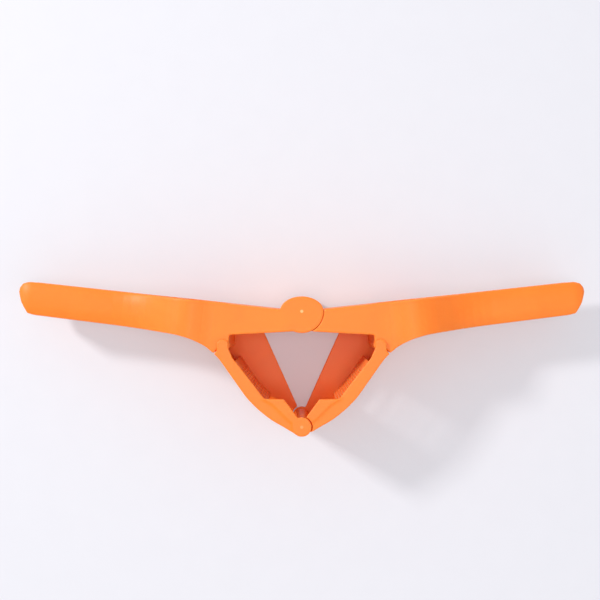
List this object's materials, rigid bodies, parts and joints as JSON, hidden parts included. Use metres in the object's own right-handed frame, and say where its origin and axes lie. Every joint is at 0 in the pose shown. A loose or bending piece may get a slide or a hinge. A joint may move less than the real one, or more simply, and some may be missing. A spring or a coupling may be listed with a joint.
{
  "type": "citrus press juicer",
  "caption": "Fold-flat hand citrus press: long lever arms on a main hinge squeeze a fruit between curved strainer jaws hung below them.",
  "frame": {"origin": "bottom centre of the bounding box of the opened press lying on its side", "axes": "+Z along the hinge axes, up from the surface it lies on; +X along the open span of the arms; +Y from the lower hinge towards the main hinge"},
  "size_m": [0.4992, 0.1326, 0.084],
  "materials": {
    "arm_plastic": "satin moulded orange nylon",
    "jaw_plastic": "satin moulded orange nylon",
    "strainer_plastic": "satin moulded orange nylon",
    "pin_steel": "ground stainless rod",
    "washer_plastic": "natural acetal"
  },
  "bodies": {
    "left_arm": {"left_arm": "arm_plastic", "left_corner_pin": "pin_steel", "main_hinge_pin": "pin_steel", "main_hinge_washer_near": "washer_plastic", "main_hinge_washer_middle": "washer_plastic", "main_hinge_washer_far": "washer_plastic"},
    "right_arm": {"right_arm": "arm_plastic", "right_corner_pin": "pin_steel"},
    "left_jaw": {"left_press_jaw": "jaw_plastic", "left_strainer_panel": "strainer_plastic", "lower_hinge_pin": "pin_steel", "lower_hinge_washer_near": "washer_plastic", "lower_hinge_washer_far": "washer_plastic"},
    "right_jaw": {"right_press_jaw": "jaw_plastic", "right_strainer_panel": "strainer_plastic"}
  },
  "joints": [
    {"name": "main_fold", "type": "hinge", "parent": "left_arm", "child": "right_arm", "pos_m": [0, 0.04056, 0.042], "axis": [0, 0, 1], "range_deg": [0, 167]},
    {"name": "left_jaw_fold", "type": "hinge", "parent": "left_arm", "child": "left_jaw", "pos_m": [-0.06739, 0.01187, 0.042], "axis": [0, 0, 1], "range_deg": [0, 61.4]},
    {"name": "right_jaw_fold", "type": "hinge", "parent": "right_arm", "child": "right_jaw", "pos_m": [0.06739, 0.01187, 0.042], "axis": [0, 0, 1], "range_deg": [-61.4, 0]}
  ],
  "couplings": [
    {"joint": "left_jaw_fold", "follows": "main_fold", "ratio": 0.36677},
    {"joint": "right_jaw_fold", "follows": "main_fold", "ratio": -0.36677}
  ]
}
